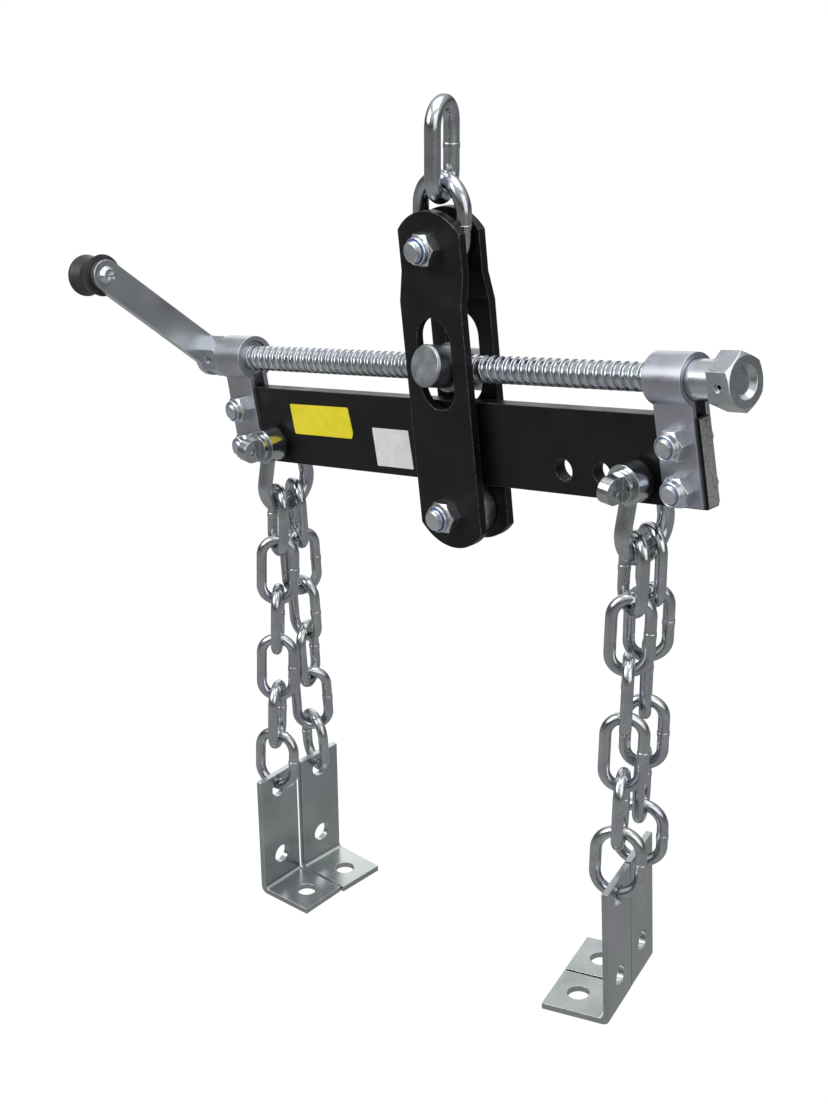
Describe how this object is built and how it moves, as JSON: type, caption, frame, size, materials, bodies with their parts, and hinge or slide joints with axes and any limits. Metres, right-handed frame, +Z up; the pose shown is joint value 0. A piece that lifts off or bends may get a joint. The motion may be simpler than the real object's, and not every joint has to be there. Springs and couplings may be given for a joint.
{
  "type": "engine load leveler",
  "caption": "Hoist load leveler: a flat bar under a two-plate hanger, a crank screw that shifts the balance point, and shackled chains that end in angle brackets for an engine.",
  "frame": {"origin": "inside the crown of the hook link, where a hoist hook bears", "axes": "+Z up against gravity, +X along the bar away from the crank, -Y towards the side with the nuts"},
  "size_m": [0.4882, 0.1259, 0.587],
  "materials": {
    "zinc_steel": "zinc plated, slightly worn",
    "bright_zinc": "bright zinc plated sheet",
    "black_paint": "semi-gloss black paint, worn at the edges",
    "blue_nylon": "matte nylon",
    "black_rubber": "matte moulded rubber"
  },
  "bodies": {
    "hook_link": {"hook_link": "zinc_steel"},
    "hanger_link": {"hanger_link": "zinc_steel"},
    "hanger": {"front_plate": "black_paint", "rear_plate": "black_paint", "hanger_bolts": "zinc_steel", "hanger_nuts": "zinc_steel", "hanger_nut_rings": "blue_nylon"},
    "roller": {"roller": "zinc_steel"},
    "trunnion_nut": {"trunnion_nut": "zinc_steel"},
    "bar": {"main_bar": "black_paint", "left_strap": "zinc_steel", "right_strap": "zinc_steel", "strap_bolts": "zinc_steel", "strap_nuts": "zinc_steel", "strap_nut_rings": "blue_nylon"},
    "screw": {"screw": "zinc_steel", "left_sleeve": "zinc_steel", "right_sleeve": "zinc_steel", "thrust_washer": "zinc_steel", "crank_collar": "zinc_steel", "end_collar": "zinc_steel", "roll_pins": "zinc_steel", "crank_arm": "zinc_steel", "knob_screw": "zinc_steel"},
    "knob": {"knob": "black_rubber"},
    "left_shackle": {"left_shackle": "zinc_steel", "left_shackle_pin": "zinc_steel"},
    "right_shackle": {"right_shackle": "zinc_steel", "right_shackle_pin": "zinc_steel"},
    "left_front_link_1": {"left_front_link_1": "zinc_steel"},
    "left_front_link_2": {"left_front_link_2": "zinc_steel"},
    "left_front_link_3": {"left_front_link_3": "zinc_steel"},
    "left_front_link_4": {"left_front_link_4": "zinc_steel"},
    "left_front_link_5": {"left_front_link_5": "zinc_steel"},
    "left_front_link_6": {"left_front_link_6": "zinc_steel"},
    "left_front_bracket": {"left_front_bracket": "bright_zinc"},
    "left_rear_link_1": {"left_rear_link_1": "zinc_steel"},
    "left_rear_link_2": {"left_rear_link_2": "zinc_steel"},
    "left_rear_link_3": {"left_rear_link_3": "zinc_steel"},
    "left_rear_link_4": {"left_rear_link_4": "zinc_steel"},
    "left_rear_link_5": {"left_rear_link_5": "zinc_steel"},
    "left_rear_link_6": {"left_rear_link_6": "zinc_steel"},
    "left_rear_bracket": {"left_rear_bracket": "bright_zinc"},
    "right_front_link_1": {"right_front_link_1": "zinc_steel"},
    "right_front_link_2": {"right_front_link_2": "zinc_steel"},
    "right_front_link_3": {"right_front_link_3": "zinc_steel"},
    "right_front_link_4": {"right_front_link_4": "zinc_steel"},
    "right_front_link_5": {"right_front_link_5": "zinc_steel"},
    "right_front_link_6": {"right_front_link_6": "zinc_steel"},
    "right_front_bracket": {"right_front_bracket": "bright_zinc"},
    "right_rear_link_1": {"right_rear_link_1": "zinc_steel"},
    "right_rear_link_2": {"right_rear_link_2": "zinc_steel"},
    "right_rear_link_3": {"right_rear_link_3": "zinc_steel"},
    "right_rear_link_4": {"right_rear_link_4": "zinc_steel"},
    "right_rear_link_5": {"right_rear_link_5": "zinc_steel"},
    "right_rear_link_6": {"right_rear_link_6": "zinc_steel"},
    "right_rear_bracket": {"right_rear_bracket": "bright_zinc"}
  },
  "joints": [
    {"name": "hanger_link_swing", "type": "hinge", "parent": "hook_link", "child": "hanger_link", "pos_m": [0, 0, -0.04775], "axis": [-0.3584, 0.9336, 0], "range_deg": [-15, 15]},
    {"name": "hanger_swing", "type": "hinge", "parent": "hanger_link", "child": "hanger", "pos_m": [0, 0, -0.07616], "axis": [0, 1, 0], "range_deg": [-25, 25]},
    {"name": "bar_tilt", "type": "hinge", "parent": "hanger", "child": "roller", "pos_m": [0.02075, 0, -0.2338], "axis": [0, -1, 0], "range_deg": [-9.1, 0.1]},
    {"name": "trunnion_shift", "type": "slide", "parent": "roller", "child": "trunnion_nut", "axis": [0.9781, 0, 0.2079], "range_m": [-0.0136, 0]},
    {"name": "bar_slide", "type": "slide", "parent": "trunnion_nut", "child": "bar", "axis": [0.9781, 0, 0.2079], "range_m": [-0.063, 0.0945]},
    {"name": "screw_spin", "type": "hinge", "parent": "bar", "child": "screw", "pos_m": [-0.00717, 0, -0.15151], "axis": [0.9781, 0, 0.2079], "range_deg": [-3620, 5420]},
    {"name": "knob_spin", "type": "hinge", "parent": "screw", "child": "knob", "pos_m": [-0.24062, -0.07193, -0.13011], "axis": [0.9781, 0, 0.2079], "continuous": true},
    {"name": "left_shackle_swing", "type": "hinge", "parent": "bar", "child": "left_shackle", "pos_m": [-0.15035, 0, -0.23786], "axis": [0, 1, 0], "range_deg": [-20, 20]},
    {"name": "right_shackle_swing", "type": "hinge", "parent": "bar", "child": "right_shackle", "pos_m": [0.15875, 0, -0.17216], "axis": [0, 1, 0], "range_deg": [-20, 20]},
    {"name": "left_front_link_1_swing", "type": "hinge", "parent": "left_shackle", "child": "left_front_link_1", "pos_m": [-0.15036, -0.007, -0.27133], "axis": [-0.9396, 0.3414, -0.0227], "range_deg": [0, 6]},
    {"name": "left_front_link_2_swing", "type": "hinge", "parent": "left_front_link_1", "child": "left_front_link_2", "pos_m": [-0.15019, -0.00945, -0.31526], "axis": [-0.9396, 0.3414, -0.0227], "range_deg": [0, 12]},
    {"name": "left_front_link_3_swing", "type": "hinge", "parent": "left_front_link_2", "child": "left_front_link_3", "pos_m": [-0.15005, -0.01149, -0.35179], "axis": [-0.6692, -0.7421, 0.0388], "range_deg": [0, 12]},
    {"name": "left_front_link_4_swing", "type": "hinge", "parent": "left_front_link_3", "child": "left_front_link_4", "pos_m": [-0.14991, -0.01353, -0.38831], "axis": [-0.6946, 0.7181, -0.0428], "range_deg": [0, 12]},
    {"name": "left_front_link_5_swing", "type": "hinge", "parent": "left_front_link_4", "child": "left_front_link_5", "pos_m": [-0.14976, -0.01557, -0.42483], "axis": [-0.7432, -0.6682, 0.0344], "range_deg": [0, 12]},
    {"name": "left_front_link_6_swing", "type": "hinge", "parent": "left_front_link_5", "child": "left_front_link_6", "pos_m": [-0.14962, -0.0176, -0.46136], "axis": [-0.5735, 0.8178, -0.0478], "range_deg": [0, 12]},
    {"name": "left_front_bracket_swing", "type": "hinge", "parent": "left_front_link_6", "child": "left_front_bracket", "pos_m": [-0.14949, -0.01947, -0.49488], "axis": [-0.9397, -0.3416, 0.0154], "range_deg": [0, 6]},
    {"name": "left_rear_link_1_swing", "type": "hinge", "parent": "left_shackle", "child": "left_rear_link_1", "pos_m": [-0.15033, 0.007, -0.27133], "axis": [0.9396, -0.3414, -0.0227], "range_deg": [0, 6]},
    {"name": "left_rear_link_2_swing", "type": "hinge", "parent": "left_rear_link_1", "child": "left_rear_link_2", "pos_m": [-0.15051, 0.00945, -0.31526], "axis": [0.9396, -0.3414, -0.0227], "range_deg": [0, 12]},
    {"name": "left_rear_link_3_swing", "type": "hinge", "parent": "left_rear_link_2", "child": "left_rear_link_3", "pos_m": [-0.15065, 0.01149, -0.35179], "axis": [0.3091, 0.9496, 0.0518], "range_deg": [0, 12]},
    {"name": "left_rear_link_4_swing", "type": "hinge", "parent": "left_rear_link_3", "child": "left_rear_link_4", "pos_m": [-0.15079, 0.01353, -0.38831], "axis": [0.9976, 0.0698, 0], "range_deg": [0, 12]},
    {"name": "left_rear_link_5_swing", "type": "hinge", "parent": "left_rear_link_4", "child": "left_rear_link_5", "pos_m": [-0.15093, 0.01557, -0.42483], "axis": [0.4539, -0.8896, -0.0514], "range_deg": [0, 12]},
    {"name": "left_rear_link_6_swing", "type": "hinge", "parent": "left_rear_link_5", "child": "left_rear_link_6", "pos_m": [-0.15108, 0.0176, -0.46136], "axis": [0.6294, 0.776, 0.0408], "range_deg": [0, 12]},
    {"name": "left_rear_bracket_swing", "type": "hinge", "parent": "left_rear_link_6", "child": "left_rear_bracket", "pos_m": [-0.15121, 0.01947, -0.49488], "axis": [0.9703, -0.2414, -0.0172], "range_deg": [0, 6]},
    {"name": "right_front_link_1_swing", "type": "hinge", "parent": "right_shackle", "child": "right_front_link_1", "pos_m": [0.15864, -0.00703, -0.20563], "axis": [-0.9265, 0.3736, -0.0449], "range_deg": [0, 6]},
    {"name": "right_front_link_2_swing", "type": "hinge", "parent": "right_front_link_1", "child": "right_front_link_2", "pos_m": [0.15994, -0.00911, -0.24956], "axis": [-0.9265, 0.3736, -0.0449], "range_deg": [0, 12]},
    {"name": "right_front_link_3_swing", "type": "hinge", "parent": "right_front_link_2", "child": "right_front_link_3", "pos_m": [0.16101, -0.01083, -0.28609], "axis": [-0.6949, -0.719, 0.0134], "range_deg": [0, 12]},
    {"name": "right_front_link_4_swing", "type": "hinge", "parent": "right_front_link_3", "child": "right_front_link_4", "pos_m": [0.16209, -0.01255, -0.32261], "axis": [-0.642, 0.7648, -0.0549], "range_deg": [0, 12]},
    {"name": "right_front_link_5_swing", "type": "hinge", "parent": "right_front_link_4", "child": "right_front_link_5", "pos_m": [0.16316, -0.01427, -0.35913], "axis": [-0.7881, -0.6155, 0.0058], "range_deg": [0, 12]},
    {"name": "right_front_link_6_swing", "type": "hinge", "parent": "right_front_link_5", "child": "right_front_link_6", "pos_m": [0.16424, -0.01599, -0.39566], "axis": [-0.5291, 0.8467, -0.0555], "range_deg": [0, 12]},
    {"name": "right_front_bracket_swing", "type": "hinge", "parent": "right_front_link_6", "child": "right_front_bracket", "pos_m": [0.16523, -0.01757, -0.42919], "axis": [-0.8829, -0.4696, -0.0039], "range_deg": [0, 6]},
    {"name": "right_rear_link_1_swing", "type": "hinge", "parent": "right_shackle", "child": "right_rear_link_1", "pos_m": [0.15885, 0.00703, -0.20563], "axis": [0.9265, -0.3736, -0.0449], "range_deg": [0, 6]},
    {"name": "right_rear_link_2_swing", "type": "hinge", "parent": "right_rear_link_1", "child": "right_rear_link_2", "pos_m": [0.15756, 0.00911, -0.24956], "axis": [0.9265, -0.3736, -0.0449], "range_deg": [0, 12]},
    {"name": "right_rear_link_3_swing", "type": "hinge", "parent": "right_rear_link_2", "child": "right_rear_link_3", "pos_m": [0.15648, 0.01083, -0.28609], "axis": [0.6949, 0.719, 0.0134], "range_deg": [0, 12]},
    {"name": "right_rear_link_4_swing", "type": "hinge", "parent": "right_rear_link_3", "child": "right_rear_link_4", "pos_m": [0.1554, 0.01255, -0.32261], "axis": [0.6148, -0.7867, -0.0552], "range_deg": [0, 12]},
    {"name": "right_rear_link_5_swing", "type": "hinge", "parent": "right_rear_link_4", "child": "right_rear_link_5", "pos_m": [0.15433, 0.01427, -0.35913], "axis": [0.8091, 0.5877, 0.0039], "range_deg": [0, 12]},
    {"name": "right_rear_link_6_swing", "type": "hinge", "parent": "right_rear_link_5", "child": "right_rear_link_6", "pos_m": [0.15325, 0.01599, -0.39566], "axis": [0.4992, -0.8647, -0.0554], "range_deg": [0, 12]},
    {"name": "right_rear_bracket_swing", "type": "hinge", "parent": "right_rear_link_6", "child": "right_rear_bracket", "pos_m": [0.15227, 0.01757, -0.42919], "axis": [0.8829, 0.4696, -0.0039], "range_deg": [0, 6]}
  ],
  "couplings": [
    {"joint": "bar_tilt", "follows": "trunnion_shift", "rad_per_m": 11.516},
    {"joint": "screw_spin", "follows": "bar_slide", "rad_per_m": 997.33}
  ]
}
